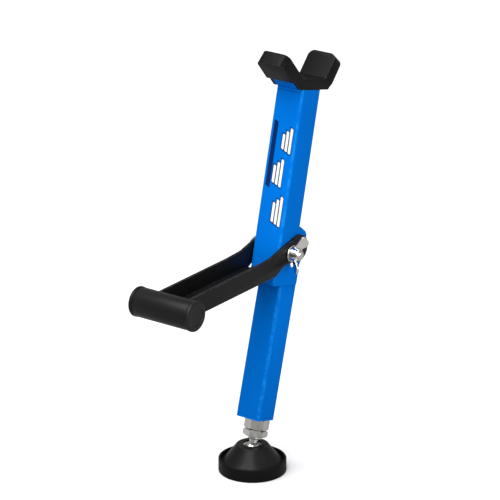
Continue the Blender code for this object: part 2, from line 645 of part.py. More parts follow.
def make_lever_bolt(frame, steel):
    """Hex bolt from the far side, a washer at each end and a spacer inside the sleeve."""
    x, z = BOLT_X - KNEE_OFFSET, BOLT_Z
    washer_y = ARM_OUTER_Y + GAP + WASHER_THICKNESS / 2
    for side, word in ((-1, "near"), (1, "far")):
        washer = ring_piece("lever_washer_" + word, WASHER_RADIUS, BOLT_RADIUS + GAP,
                            WASHER_THICKNESS, steel)
        settle(washer, frame, (x, side * washer_y, z), (90, 0, 0))
    head_y = washer_y + WASHER_THICKNESS / 2 + GAP
    shank_end = washer_y + WASHER_THICKNESS / 2 + GAP + WING_HUB_HEIGHT + 1.5 * MM
    head = add_piece("lever_bolt", cylinder_mesh("lever_bolt", BOLT_HEAD_FLATS / math.sqrt(3),
                     BOLT_HEAD_HEIGHT, 6), steel)
    settle(head, frame, (x, head_y + BOLT_HEAD_HEIGHT / 2, z), (90, 0, 0))
    length = head_y + shank_end + 0.5 * BOLT_HEAD_HEIGHT
    shank = add_cutter("bolt_shank", cylinder_mesh("bolt_shank", BOLT_RADIUS, length))
    settle(shank, frame, (x, -shank_end + length / 2, z), (90, 0, 0))
    combine(head, shank, "UNION")

    spacer = ring_piece("stop_spacer", SPACER_RADIUS, BOLT_RADIUS + GAP, 2 * (INNER_HALF - GAP), steel)
    settle(spacer, frame, (x, 0, z), (90, 0, 0))
    return x, z, head_y


def make_wing_nut(frame, x, z, seat_y, steel):
    """Tapered hub with two rounded wings; each wing is set askew like a propeller blade."""
    base = -seat_y
    nut = add_piece("wing_nut", cylinder_mesh("wing_nut", WING_HUB_RADIUS, WING_HUB_HEIGHT,
                    top_radius=WING_HUB_TOP_RADIUS), steel)
    settle(nut, frame, (x, base - WING_HUB_HEIGHT / 2, z), (90, 0, 0))
    for side, word in ((-1, "low"), (1, "high")):
        inner = BOLT_RADIUS + 0.6 * MM
        outline = rounded([(inner, 0.8 * MM, 0), (WING_HUB_RADIUS, 1.0 * MM, 0),
                           (WING_REACH, 0.55 * WING_RISE, 3.5 * MM),
                           (WING_REACH - 1 * MM, WING_RISE, 4.5 * MM),
                           (WING_HUB_TOP_RADIUS + 3 * MM, WING_RISE, 3.5 * MM),
                           (inner, 0.85 * WING_HUB_HEIGHT, 0)])
        wing = add_cutter("wing_" + word, slab_mesh("wing_" + word, outline, WING_THICKNESS))
        upright = Matrix.Rotation(math.radians(90), 4, "X")
        twist = Matrix.Rotation(math.radians(WING_TWIST_DEG), 4, "X")
        swing = Matrix.Rotation(math.radians(180 if side < 0 else 0), 4, "Z")
        wing.data.transform(swing @ twist @ upright)
        settle(wing, frame, (x, base, z), (90, WING_PARK_DEG, 0))
        combine(nut, wing, "UNION")
    bore = add_cutter("wing_bore", cylinder_mesh("wing_bore", BOLT_RADIUS + GAP, 4 * WING_RISE))
    settle(bore, frame, (x, base, z), (90, 0, 0))
    combine(nut, bore, "DIFFERENCE")


# ---- the stand -----------------------------------------------------------------------------
clear_scene()
parts = new_collection("repair_stand")
cutters = new_collection("cutters")

blue_paint = finish("blue_paint", (0.004, 0.15, 0.62), 0.3)
black_paint = finish("black_paint", (0.03, 0.03, 0.032), 0.45)
black_rubber = finish("black_rubber", (0.02, 0.02, 0.02), 0.6)
cap_plastic = finish("cap_plastic", (0.025, 0.025, 0.026), 0.5)
zinc_steel = finish("zinc_steel", (0.62, 0.63, 0.65), 0.3, 1.0)
seat_nylon = finish("seat_nylon", (0.75, 0.75, 0.72), 0.5)

ball_place = Vector((0.0, 0.0, BALL_HEIGHT))
stem_frame = frame_empty("stem_frame", ball_place, LOWER_LEAN_DEG)
lower_turn = Matrix.Rotation(math.radians(LOWER_LEAN_DEG), 3, "Y")
knee_place = ball_place + lower_turn @ Vector((KNEE_FROM_STEM, 0.0, KNEE_HEIGHT))
leg_frame = frame_empty("leg_frame", knee_place, LOWER_LEAN_DEG)
knee_frame = frame_empty("knee_frame", knee_place, UPPER_LEAN_DEG)

make_foot(black_rubber, black_paint)
make_ball_seats(seat_nylon)
make_stem(stem_frame, zinc_steel)
hex_nut("jam_nut", stem_frame, JAM_NUT_BASE, JAM_NUT_HEIGHT, zinc_steel)
hex_nut("coupling_nut", stem_frame, COUPLING_BASE, COUPLING_NUT_HEIGHT, zinc_steel)
make_lower_leg(stem_frame, leg_frame, blue_paint)
make_upper_tube(knee_frame, blue_paint)
make_knee(knee_frame, zinc_steel)
make_saddle(knee_frame, blue_paint, black_rubber)
make_saddle_welds(knee_frame, blue_paint)
make_lever(knee_frame, black_paint, cap_plastic)
bolt_x, bolt_z, nut_seat = make_lever_bolt(knee_frame, zinc_steel)
make_wing_nut(knee_frame, bolt_x, bolt_z, nut_seat, zinc_steel)
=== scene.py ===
# %% [markdown]
# # A folding wheel-lift repair stand
# The stand is one leg made of two square tubes that fold at a knee, with a padded cradle on top,
# a foot lever beside the knee and a round ball-jointed foot on an adjusting screw. The working
# model is loaded first, as a fixed frame, and every finished piece is then built around it, so
# that nothing needs fitting afterwards.

# %% Load the frame
import json
import math

import bmesh
import bpy
from mathutils import Matrix, Vector


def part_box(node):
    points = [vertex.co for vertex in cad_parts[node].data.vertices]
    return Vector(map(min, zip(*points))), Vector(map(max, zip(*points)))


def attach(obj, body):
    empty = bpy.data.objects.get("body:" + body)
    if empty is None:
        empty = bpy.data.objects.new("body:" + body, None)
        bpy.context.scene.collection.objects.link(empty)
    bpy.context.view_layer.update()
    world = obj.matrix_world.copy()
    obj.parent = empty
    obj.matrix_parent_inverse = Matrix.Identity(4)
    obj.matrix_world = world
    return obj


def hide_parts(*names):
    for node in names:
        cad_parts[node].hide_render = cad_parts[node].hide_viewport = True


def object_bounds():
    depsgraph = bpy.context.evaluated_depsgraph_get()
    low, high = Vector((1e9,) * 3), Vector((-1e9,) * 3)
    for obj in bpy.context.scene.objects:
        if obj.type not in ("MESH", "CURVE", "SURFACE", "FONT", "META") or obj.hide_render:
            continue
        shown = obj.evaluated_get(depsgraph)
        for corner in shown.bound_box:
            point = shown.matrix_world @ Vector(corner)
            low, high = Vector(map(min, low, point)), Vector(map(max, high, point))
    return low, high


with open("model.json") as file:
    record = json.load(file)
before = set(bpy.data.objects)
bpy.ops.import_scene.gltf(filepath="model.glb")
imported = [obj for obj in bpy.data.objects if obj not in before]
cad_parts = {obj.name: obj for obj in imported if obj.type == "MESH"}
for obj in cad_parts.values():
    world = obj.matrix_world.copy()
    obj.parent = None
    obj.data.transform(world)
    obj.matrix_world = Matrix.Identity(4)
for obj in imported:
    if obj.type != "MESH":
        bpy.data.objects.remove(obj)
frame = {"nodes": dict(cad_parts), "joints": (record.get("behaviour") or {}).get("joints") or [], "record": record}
cad_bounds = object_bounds()
MM = 0.001
GAP = 0.3 * MM           # between pieces that touch

# %% [markdown]
# ## Three leaning frames
# The tubes lean, so their pieces are easier to draw upright and tilt into place. Each frame here
# is a matrix whose Z runs along a leg and whose Y stays level. They come from the joints and the
# cradle's floor, and not from typed numbers, so the finished pieces follow the working model.

# %% Leaning frames
joints = {joint["name"]: joint for joint in frame["joints"]}
mounts = {mount["name"]: mount for mount in frame["record"]["mounts"]}


def leaning(origin, axis):
    lean = math.atan2(axis[0], axis[2])
    return Matrix.Translation(origin) @ Matrix.Rotation(lean, 4, "Y")


UPPER = leaning(joints["knee_fold"]["pos_m"], mounts["cradle_floor"]["axis"])
LOWER = leaning(joints["knee_fold"]["pos_m"], joints["foot_screw"]["axis"])
STEM = leaning(joints["foot_turn"]["pos_m"], joints["foot_screw"]["axis"])
FLOOR = Matrix.Translation((0, 0, 0))


def span(node, place):
    """Lowest and highest corner of a node, measured in one of the leaning frames."""
    back = place.inverted()
    points = [back @ vertex.co for vertex in frame["nodes"][node].data.vertices]
    low = Vector([min(point[axis] for point in points) for axis in range(3)])
    high = Vector([max(point[axis] for point in points) for axis in range(3)])
    return low, high


tube_low, tube_high = span("upper_tube", UPPER)
print("upper tube, mm:", [round(side / MM, 1) for side in tube_high - tube_low])

# %% [markdown]
# ## Small helpers for node materials
# A shader can be clicked together or scripted. Scripted nodes read best when one helper adds a
# node with its values and another makes a group with named sockets. An effect that several
# finishes share, such as orange peel or worn edges, is then a group that is built only once.

# %% Node helpers
def add_node(tree, kind, **values):
    """Add a node, set its properties, and set its sockets from the inputs dictionary."""
    node = tree.nodes.new(kind)
    inputs = values.pop("inputs", {})
    for name, value in values.items():
        setattr(node, name, value)
    for key, value in inputs.items():
        node.inputs[key].default_value = value
    return node


def new_group(name, inputs, outputs):
    """An empty shader group with float inputs (name, value) and float outputs."""
    tree = bpy.data.node_groups.new(name, "ShaderNodeTree")
    for label, value in inputs:
        socket = tree.interface.new_socket(label, in_out="INPUT", socket_type="NodeSocketFloat")
        socket.default_value = value
    for label in outputs:
        tree.interface.new_socket(label, in_out="OUTPUT", socket_type="NodeSocketFloat")
    start = tree.nodes.new("NodeGroupInput")
    end = tree.nodes.new("NodeGroupOutput")
    return tree, start, end


def stretched_noise(tree, start, scale_input, stretch, detail, seed=0.0):
    """Noise on Object coordinates, stretched along one axis by a Mapping node."""
    where = add_node(tree, "ShaderNodeTexCoord")
    bend = add_node(tree, "ShaderNodeMapping", inputs={"Scale": stretch, "Location": (seed,) * 3})
    noise = add_node(tree, "ShaderNodeTexNoise", inputs={"Detail": detail, "Roughness": 0.55})
    tree.links.new(where.outputs["Object"], bend.inputs["Vector"])
    tree.links.new(bend.outputs["Vector"], noise.inputs["Vector"])
    tree.links.new(start.outputs[scale_input], noise.inputs["Scale"])
    return noise


# %% [markdown]
# ## Shared surface effects
# Powder coat has a faint orange peel, a tone that drifts slowly, hairline scuffs and thin wear on
# its edges, and the edges also carry a painted highlight: a lighter tone in place of the light that
# rounded edges catch. Moulded rubber and plastic have a fine grain. Each effect is a group whose
# output is a height or a mask from 0 to 1. The wear and the painted highlight follow an attribute
# called edge that the modelling helpers write on rounded edges, because a bevel knows where the
# edges are and a noise doesn't.

# %% Effect groups
def make_grain():
    tree, start, end = new_group("surface_grain", [("Scale", 900.0), ("Fine", 0.35)], ["Height"])
    broad = stretched_noise(tree, start, "Scale", (1, 1, 1), 3.0)
    fine = stretched_noise(tree, start, "Scale", (4, 4, 4), 2.0, seed=3.0)
    mix = add_node(tree, "ShaderNodeMix", data_type="FLOAT")
    tree.links.new(start.outputs["Fine"], mix.inputs["Factor"])
    tree.links.new(broad.outputs["Fac"], mix.inputs["A"])
    tree.links.new(fine.outputs["Fac"], mix.inputs["B"])
    tree.links.new(mix.outputs["Result"], end.inputs["Height"])
    return tree


def make_drift():
    tree, start, end = new_group("tone_drift", [("Scale", 25.0)], ["Tone"])
    noise = stretched_noise(tree, start, "Scale", (1, 1, 0.5), 2.0, seed=1.7)
    spread = add_node(tree, "ShaderNodeMapRange", inputs={"From Min": 0.32, "From Max": 0.68})
    tree.links.new(noise.outputs["Fac"], spread.inputs["Value"])
    tree.links.new(spread.outputs["Result"], end.inputs["Tone"])
    return tree


def make_scuffs():
    tree, start, end = new_group("hairline_scuffs", [("Scale", 220.0), ("Amount", 0.5)], ["Mask"])
    marks = []
    for stretch, seed in (((0.06, 1.0, 1.0), 0.0), ((1.0, 1.0, 0.05), 5.0)):
        noise = stretched_noise(tree, start, "Scale", stretch, 4.0, seed=seed)
        cut = add_node(tree, "ShaderNodeMapRange", inputs={"From Min": 0.68, "From Max": 0.78})
        tree.links.new(noise.outputs["Fac"], cut.inputs["Value"])
        marks.append(cut)
    joined = add_node(tree, "ShaderNodeMath", operation="MAXIMUM")
    tree.links.new(marks[0].outputs["Result"], joined.inputs[0])
    tree.links.new(marks[1].outputs["Result"], joined.inputs[1])
    amount = add_node(tree, "ShaderNodeMath", operation="MULTIPLY")
    tree.links.new(joined.outputs["Value"], amount.inputs[0])
    tree.links.new(start.outputs["Amount"], amount.inputs[1])
    tree.links.new(amount.outputs["Value"], end.inputs["Mask"])
    return tree


# The edge mask carries wear and a painted highlight, both shown by one lighter edge tone.
def make_edge_wear_and_highlight():
    tree, start, end = new_group("edge_wear_and_highlight", [("Scale", 260.0), ("Amount", 0.6)], ["Mask"])
    edge = add_node(tree, "ShaderNodeAttribute", attribute_name="edge")
    noise = stretched_noise(tree, start, "Scale", (1, 1, 1), 4.0, seed=8.0)
    patchy = add_node(tree, "ShaderNodeMapRange", inputs={"From Min": 0.42, "From Max": 0.62})
    tree.links.new(noise.outputs["Fac"], patchy.inputs["Value"])
    worn_and_lit = add_node(tree, "ShaderNodeMath", operation="MULTIPLY")
    tree.links.new(edge.outputs["Fac"], worn_and_lit.inputs[0])
    tree.links.new(patchy.outputs["Result"], worn_and_lit.inputs[1])
    amount = add_node(tree, "ShaderNodeMath", operation="MULTIPLY")
    tree.links.new(worn_and_lit.outputs["Value"], amount.inputs[0])
    tree.links.new(start.outputs["Amount"], amount.inputs[1])
    tree.links.new(amount.outputs["Value"], end.inputs["Mask"])
    return tree


def make_brushing():
    tree, start, end = new_group("turning_marks", [("Scale", 1500.0)], ["Height"])
    noise = stretched_noise(tree, start, "Scale", (0.15, 0.15, 1.0), 3.0, seed=2.0)
    tree.links.new(noise.outputs["Fac"], end.inputs["Height"])
    return tree


GRAIN = make_grain()
DRIFT = make_drift()
SCUFFS = make_scuffs()
EDGE_WEAR_AND_HIGHLIGHT = make_edge_wear_and_highlight()
TURNING = make_brushing()
print("effect groups:", [tree.name for tree in (GRAIN, DRIFT, SCUFFS, EDGE_WEAR_AND_HIGHLIGHT, TURNING)])


# %% [markdown]
# ## One recipe for every finish
# All the finishes are layers of the same kind: a base colour that drifts between two tones, a
# third tone on the edges that is wear and a painted highlight in one, a roughness that rises in
# the scuffs, and a bump from the grain. One function with named values gives them all, and each
# finish is then a short call that a reader can compare with the next. What is the same all over
# is set on the shader's socket.

# %% The finish recipe
BUMP_DEPTH = 0.0001      # metres


def place_group(tree, group, **values):
    node = tree.nodes.new("ShaderNodeGroup")
    node.node_tree = group
    for name, value in values.items():
        node.inputs[name].default_value = value
    return node


def make_finish(name, tones, worn_and_lit, roughness, rough_spread, grain, bump, metallic=0.0,
                specular=0.5, coat=0.0, coat_roughness=0.1, sheen=0.0, scuffs=0.3, wear_and_highlight=0.4, drift=25.0,
                height_group=None):
    material = bpy.data.materials.new(name)
    material.use_nodes = True
    tree = material.node_tree
    shader = tree.nodes["Principled BSDF"]
    for socket, value in (("Metallic", metallic), ("Coat Weight", coat),
                          ("Coat Roughness", coat_roughness), ("Sheen Weight", sheen),
                          ("Specular IOR Level", specular)):
        shader.inputs[socket].default_value = value

    tone = place_group(tree, DRIFT, Scale=drift)
    edge = place_group(tree, EDGE_WEAR_AND_HIGHLIGHT, Amount=wear_and_highlight)
    marks = place_group(tree, SCUFFS, Amount=scuffs)
    base = add_node(tree, "ShaderNodeMix", data_type="RGBA")
    base.inputs[6].default_value = (*tones[0], 1.0)
    base.inputs[7].default_value = (*tones[1], 1.0)
    # The edges get a third tone: wear and a painted highlight in one.
    rubbed_and_lit = add_node(tree, "ShaderNodeMix", data_type="RGBA")
    rubbed_and_lit.inputs[7].default_value = (*worn_and_lit, 1.0)
    tree.links.new(tone.outputs["Tone"], base.inputs["Factor"])
    tree.links.new(base.outputs[2], rubbed_and_lit.inputs[6])
    tree.links.new(edge.outputs["Mask"], rubbed_and_lit.inputs["Factor"])
    tree.links.new(rubbed_and_lit.outputs[2], shader.inputs["Base Color"])

    duller = add_node(tree, "ShaderNodeMath", operation="ADD")
    tree.links.new(tone.outputs["Tone"], duller.inputs[0])
    tree.links.new(marks.outputs["Mask"], duller.inputs[1])
    rough = add_node(tree, "ShaderNodeMapRange", inputs={"From Max": 2.0, "To Min": roughness,
                                                       "To Max": roughness + rough_spread})
    tree.links.new(duller.outputs["Value"], rough.inputs["Value"])
    tree.links.new(rough.outputs["Result"], shader.inputs["Roughness"])

    surface = place_group(tree, height_group or GRAIN, Scale=grain)
    relief = add_node(tree, "ShaderNodeBump", inputs={"Strength": bump, "Distance": BUMP_DEPTH})
    tree.links.new(surface.outputs["Height"], relief.inputs["Height"])
    tree.links.new(relief.outputs["Normal"], shader.inputs["Normal"])
    return material


# %% [markdown]
# ## The finishes
# The tubes are powder coated in a strong blue. They reflect almost nothing white, as only a very
# thin clear layer does, and their highlights come from a lighter blue along the edges. The
# lever, foot and pedal are satin black. The cradle's boot is soft black rubber,
# the fasteners are bright zinc, and the ball runs in natural nylon. The badge printed on the tube
# is a thin film in white and navy.

# %% Finishes
# The third tone of each finish is its edge colour, wear and a painted highlight together; the lighter blue is the
# tubes' painted highlight.
blue_coat = make_finish("blue_powder_coat", ((0.0003, 0.150, 0.62), (0.0005, 0.162, 0.65)),
                        (0.020, 0.37, 0.95), 0.24, 0.08, 900.0, 0.10, specular=0.0, coat=0.03,
                        coat_roughness=0.05, scuffs=0.2, wear_and_highlight=0.4, drift=9.0)
black_coat = make_finish("black_powder_coat", ((0.0065, 0.0065, 0.007), (0.009, 0.009, 0.0095)),
                         (0.22, 0.22, 0.225), 0.34, 0.10, 1300.0, 0.25, specular=0.15,
                         coat=0.03, coat_roughness=0.2, scuffs=0.4, wear_and_highlight=0.6, drift=20.0)
boot_rubber = make_finish("boot_rubber", ((0.0018, 0.0018, 0.0018), (0.0035, 0.0035, 0.0035)),
                          (0.17, 0.17, 0.17), 0.38, 0.15, 1800.0, 0.35, specular=0.12,
                          sheen=0.005, scuffs=0.3, wear_and_highlight=0.5, drift=30.0)
cap_plastic = make_finish("cap_plastic", ((0.0045, 0.0045, 0.005), (0.007, 0.007, 0.0075)),
                          (0.12, 0.12, 0.12), 0.32, 0.12, 1500.0, 0.25, specular=0.24,
                          scuffs=0.35, wear_and_highlight=0.4, drift=25.0)
bright_zinc = make_finish("bright_zinc", ((0.66, 0.65, 0.63), (0.84, 0.82, 0.79)),
                          (0.90, 0.90, 0.90), 0.12, 0.16, 1500.0, 0.2, metallic=1.0,
                          scuffs=0.4, wear_and_highlight=0.8, drift=120.0, height_group=TURNING)
seat_nylon = make_finish("seat_nylon", ((0.74, 0.73, 0.70), (0.80, 0.79, 0.76)),
                         (0.85, 0.85, 0.83), 0.4, 0.15, 900.0, 0.2, scuffs=0.2,
                         wear_and_highlight=0.2, drift=60.0)
badge_white = make_finish("badge_white", ((0.86, 0.88, 0.90), (0.92, 0.94, 0.96)),
                          (0.7, 0.78, 0.88), 0.3, 0.08, 700.0, 0.06, scuffs=0.2,
                          wear_and_highlight=0.1, drift=30.0)
badge_navy = make_finish("badge_navy", ((0.002, 0.018, 0.10), (0.003, 0.024, 0.13)),
                         (0.01, 0.06, 0.25), 0.3, 0.08, 700.0, 0.06, specular=0.05, scuffs=0.2,
                         wear_and_highlight=0.1, drift=30.0)
print("finishes:", sum(1 for _ in bpy.data.materials))

# %% [markdown]
# ## Handing a shape over
# Every piece ends the same way: doubles merged, normals turned outwards, the shape tilted into
# place, edges shaded smooth, and then the piece rides on a body and the working solids in its
# place are hidden. The helper also counts edges that don't join exactly two faces, which a closed
# solid doesn't have, so that a gap in a mesh is seen at once.

# %% Handing over
SHARP = math.radians(38)


def edge_layer(shape):
    """A value on each face for how worn it is and how much painted highlight it carries. Adding a layer comes
    before faces are picked.
    """
    return shape.faces.layers.float.get("edge") or shape.faces.layers.float.new("edge")


def hand_over(name, shape, place, body, slot, material, *nodes):
    bmesh.ops.remove_doubles(shape, verts=shape.verts, dist=1e-6)
    bmesh.ops.recalc_face_normals(shape, faces=shape.faces)
    bmesh.ops.transform(shape, matrix=place, verts=shape.verts)
    open_edges = sum(1 for edge in shape.edges if len(edge.link_faces) != 2)
    mesh = bpy.data.meshes.new(name)
    shape.to_mesh(mesh)
    shape.free()
    mesh.shade_smooth()
    mesh.set_sharp_from_angle(angle=SHARP)
    mesh.materials.append(material)
    piece = bpy.data.objects.new(name, mesh)
    bpy.context.scene.collection.objects.link(piece)
    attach(piece, body)
    if nodes:
        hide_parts(*nodes)
    print(f"{name}: {len(mesh.polygons)} faces, {open_edges} open edges")


# %% [markdown]
# ## Outlines, slabs and turned shapes
# Most of the stand is either cut from sheet or turned on a lathe. A sheet piece is an outline
# whose corners are swapped for arcs and then extruded. A turned piece is half a section spun
# about its axis. A rounded edge is a bevel, and the bevel's new faces are marked, because that
# is where paint wears first and where the painted highlight goes.

# %% Shape helpers
def eased(corners, steps=5):
    """Swap each (x, y, radius) corner of a closed outline for a short arc."""
    outline = []
    for index, (x, y, radius) in enumerate(corners):
        here = Vector((x, y))
        if radius == 0:
            outline.append((x, y))
            continue
        before = (Vector(corners[index - 1][:2]) - here).normalized()
        after = (Vector(corners[(index + 1) % len(corners)][:2]) - here).normalized()
        half = before.angle(after) / 2
        centre = here + (before + after).normalized() * (radius / math.sin(half))
        first = here + before * (radius / math.tan(half)) - centre
        last = here + after * (radius / math.tan(half)) - centre
        sweep = first.angle_signed(last)
        for step in range(steps + 1):
            spoke = first.copy()
            spoke.rotate(Matrix.Rotation(-sweep * step / steps, 2))
            outline.append(tuple(centre + spoke))
    return outline


def slab(outline, low, high):
    """An outline in X and Z, extruded along Y."""
    shape = bmesh.new()
    face = shape.faces.new([shape.verts.new((x, low, z)) for x, z in outline])
    grown = bmesh.ops.extrude_face_region(shape, geom=[face])
    moved = [item for item in grown["geom"] if isinstance(item, bmesh.types.BMVert)]
    bmesh.ops.translate(shape, vec=(0, high - low, 0), verts=moved)
    return shape


def turned(profile, sides, closed=False):
    """A profile of (radius, height) points, spun about Z."""
    shape = bmesh.new()
    points = [shape.verts.new((radius, 0, height)) for radius, height in profile]
    chain = [shape.edges.new(pair) for pair in zip(points, points[1:])]
    if closed:
        chain.append(shape.edges.new((points[-1], points[0])))
    bmesh.ops.spin(shape, geom=points + chain, cent=(0, 0, 0), axis=(0, 0, 1), dvec=(0, 0, 0),
                   angle=math.tau, steps=sides, use_merge=True)
    bmesh.ops.remove_doubles(shape, verts=shape.verts, dist=1e-6)
    return shape


def soften(shape, width, segments=3, angle=30.0):
    """Round every edge sharper than the angle, and mark the new faces for edge wear and the painted highlight."""
    layer = edge_layer(shape)
    sharp = [edge for edge in shape.edges if len(edge.link_faces) == 2
             and edge.calc_face_angle() > math.radians(angle)]
    made = bmesh.ops.bevel(shape, geom=sharp, offset=width, offset_type="OFFSET",
                           segments=segments, profile=0.5, affect="EDGES",
                           clamp_overlap=True, material=-1)
    for face in made["faces"]:
        face[layer] = 1.0
    return shape


def merged_copy(node):
    """A working solid's mesh with its loose triangles joined and its flat faces made whole."""
    shape = bmesh.new()
    shape.from_mesh(frame["nodes"][node].data)
    bmesh.ops.remove_doubles(shape, verts=shape.verts, dist=2e-6)
    bmesh.ops.dissolve_limit(shape, angle_limit=math.radians(0.5), verts=shape.verts,
                             edges=shape.edges)
    return shape


# %% [markdown]
# ## The upper tube
# This is square steel tube. Its lower end is left as a channel with two ears, which take the
# knee pin, the lever's bolt and a lock hole. The cuts are already right in the working solid, so
# the finished tube starts from a merged copy, and a small bevel gives the cut edges the softness
# that powder coat has.

# %% Upper tube
def mark_corners(shape, place, amount):
    """The long round corners of a tube get a painted highlight: a lighter tone in place of the light they catch.
    """
    back = place.to_3x3().inverted()
    layer = edge_layer(shape)
    shape.normal_update()
    for face in shape.faces:
        across = back @ face.normal
        if min(abs(across.x), abs(across.y)) > 0.25:
            face[layer] = amount
    return shape


# The tube's round corners carry the painted highlight.
tube = mark_corners(merged_copy("upper_tube"), UPPER, 0.8)
hand_over("upper_tube_shell", soften(tube, 0.35 * MM), FLOOR, "upper_leg", "blue_paint",
          blue_coat, "upper_tube")

# %% [markdown]
# ## The lower tube and its plates
# The lower leg is a length of smaller square tube, closed at each end by a plate. The tube starts
# from a cube whose long edges are bevelled to the tube's own corner radius. Insetting both ends
# and bridging the two openings gives it the wall.

# %% Lower tube
LOWER_WALL = 1.5 * MM
CORNER_RADIUS = 3.0 * MM


def square_block(low, high, radius):
    shape = bmesh.new()
    bmesh.ops.create_cube(shape, size=1.0)
    bmesh.ops.scale(shape, vec=high - low, verts=shape.verts)
    bmesh.ops.translate(shape, vec=(high + low) / 2, verts=shape.verts)
    upright = [edge for edge in shape.edges
               if abs(edge.verts[0].co.z - edge.verts[1].co.z) > 1e-7]
    bmesh.ops.bevel(shape, geom=upright, offset=radius, offset_type="OFFSET", segments=8,
                    profile=0.5, affect="EDGES", clamp_overlap=True, material=-1)
    return shape


def open_through(shape, wall):
    ends = [face for face in shape.faces if abs(face.normal.z) > 0.9]
    bmesh.ops.inset_region(shape, faces=ends, thickness=wall, use_even_offset=True)
    rims = [edge for face in ends for edge in face.edges]
    bmesh.ops.delete(shape, geom=ends, context="FACES_ONLY")
    bmesh.ops.bridge_loops(shape, edges=rims)
    return shape


low, high = span("lower_tube", LOWER)
block = square_block(low, high, CORNER_RADIUS)
block.normal_update()
# Its round corners carry the painted highlight too.
tube = mark_corners(open_through(block, LOWER_WALL), FLOOR, 0.8)
hand_over("lower_tube_shell", soften(tube, 0.3 * MM, 2, 60), LOWER,
          "lower_leg", "blue_paint", blue_coat, "lower_tube")
for node in ("lower_end_plate", "lower_top_plate", "knee_tongue"):
    hand_over(node + "_finished", soften(merged_copy(node), 0.3 * MM, 2), FLOOR, "lower_leg",
              "blue_paint", blue_coat, node)

# %% [markdown]
# ## The cradle plate and its welds
# The cradle is a strip of 4 mm plate bent up at both ends and welded across the top of the tube.
# A weld made by hand is a row of overlapping puddles, so each bead is a row of small flattened
# spheres along the corner that it fills.

# %% Cradle plate and weld beads
hand_over("cradle_plate", soften(merged_copy("saddle_plate"), 0.5 * MM), FLOOR, "upper_leg",
          "blue_paint", blue_coat, "saddle_plate")

BEAD_PITCH = 1.5 * MM


def weld_bead(node, side):
    low, high = span(node, UPPER)
    corner_x = low.x if side > 0 else high.x
    shape = bmesh.new()
    count = int((high.y - low.y) / BEAD_PITCH)
    for index in range(count):
        y = low.y + (index + 0.5) * (high.y - low.y) / count
        bead = bmesh.ops.create_uvsphere(shape, u_segments=16, v_segments=10, radius=1.0)["verts"]
        bmesh.ops.scale(shape, vec=(2.0 * MM, 1.35 * MM, 2.0 * MM), verts=bead)
        wobble = 0.12 * MM * math.sin(2.3 * index)
        centre = (corner_x + side * 0.7 * MM, y, high.z - 0.7 * MM + wobble)
        bmesh.ops.translate(shape, vec=centre, verts=bead)
    return shape


for name, node, side in (("weld_bead_front", "saddle_weld_front", -1),
                         ("weld_bead_back", "saddle_weld_back", 1)):
    hand_over(name, weld_bead(node, side), UPPER, "upper_leg", "blue_paint", blue_coat, node)

# %% [markdown]
# ## The rubber boot
# One moulded boot wraps the whole cradle. Its pads have round corners and a soft rim. The outline
# of the boot is drawn from the side and extruded across, and the four tip edges are bevelled with
# a large radius before all the edges get a small one. A window below leaves the plate bare where
# it meets the tube, and the skirts beside it end flush with the plate. Both are Boolean cuts.

# %% Rubber boot
UPPER_TUBE = 28.2 * MM
PLATE = 4.0 * MM
BEND_X = (-18.5 * MM, 24.0 * MM)         # underside bends, from the tube's axis
RISE_DEG = (36.0, 62.0)                  # front and back arm above the base
ARM = (35.0 * MM, 27.0 * MM)
RUBBER_IN, RUBBER_OUT, RUBBER_TIP = 5.6 * MM, 2.4 * MM, 3.0 * MM
BARE = (12.0 * MM, 5.0 * MM)
WINDOW_DROP = 9.6 * MM                   # how far the window's cutter reaches below the plate
plate_low, plate_high = span("saddle_plate", UPPER)
boot_low, boot_high = span("saddle_boot", UPPER)
tube_axis = (tube_low.x + tube_low.x + UPPER_TUBE) / 2


def cradle_side(outer, inner, tip, round_bend):
    """Side outline of the bent strip, made thicker by outer, inner and tip."""
    corners_low, corners_high, tips = [], [], []
    sheet = PLATE + outer + inner
    base = plate_low.z - outer
    for side, bend_x, rise, arm in zip((-1, 1), BEND_X, RISE_DEG, ARM):
        angle = math.radians(rise)
        shift = outer * math.tan(angle / 2)
        bend = Vector((tube_axis + bend_x + side * shift, base))
        along = Vector((side * math.cos(angle), math.sin(angle)))
        across = Vector((-side * math.sin(angle), math.cos(angle)))
        end = bend + along * (arm + tip + shift)
        inside = bend + Vector((-side * sheet * math.tan(angle / 2), sheet))
        corners_low.append(bend)
        corners_high.append(inside)
        tips.append((end, end + across * sheet))
    path = [(tips[0][0], 0), (corners_low[0], round_bend), (corners_low[1], round_bend),
            (tips[1][0], 0), (tips[1][1], 0), (corners_high[1], round_bend / 2),
            (corners_high[0], round_bend / 2), (tips[0][1], 0)]
    return eased([(point.x, point.y, radius) for point, radius in path], steps=8), tips


def carved(shape, cutter):
    """The shape with the cutter's volume taken away."""
    things = []
    for label, body in (("work", shape), ("tool", cutter)):
        bmesh.ops.recalc_face_normals(body, faces=body.faces)
        mesh = bpy.data.meshes.new(label)
        body.to_mesh(mesh)
        body.free()
        thing = bpy.data.objects.new(label, mesh)
        bpy.context.scene.collection.objects.link(thing)
        things.append(thing)
    cut = things[0].modifiers.new("cut", "BOOLEAN")
    cut.operation = "DIFFERENCE"
    cut.object = things[1]
    result = bmesh.new()
    result.from_object(things[0], bpy.context.evaluated_depsgraph_get())
    for thing in things:
        bpy.data.objects.remove(thing)
    return result


def rounded_pads(shape, tips, radius):
    """Bevel the four edges that run through the rubber at the tips of the pads."""
    ends = []
    for outer, inner in tips:
        for edge in shape.edges:
            flat = [Vector((vertex.co.x, vertex.co.z)) for vertex in edge.verts]
            level = abs(edge.verts[0].co.y - edge.verts[1].co.y) < 1e-7
            if level and all(min((p - outer).length, (p - inner).length) < 1e-6 for p in flat):
                ends.append(edge)
    bmesh.ops.bevel(shape, geom=ends, offset=radius, offset_type="OFFSET", segments=8,
                    profile=0.5, affect="EDGES", clamp_overlap=True, material=-1)
    return shape


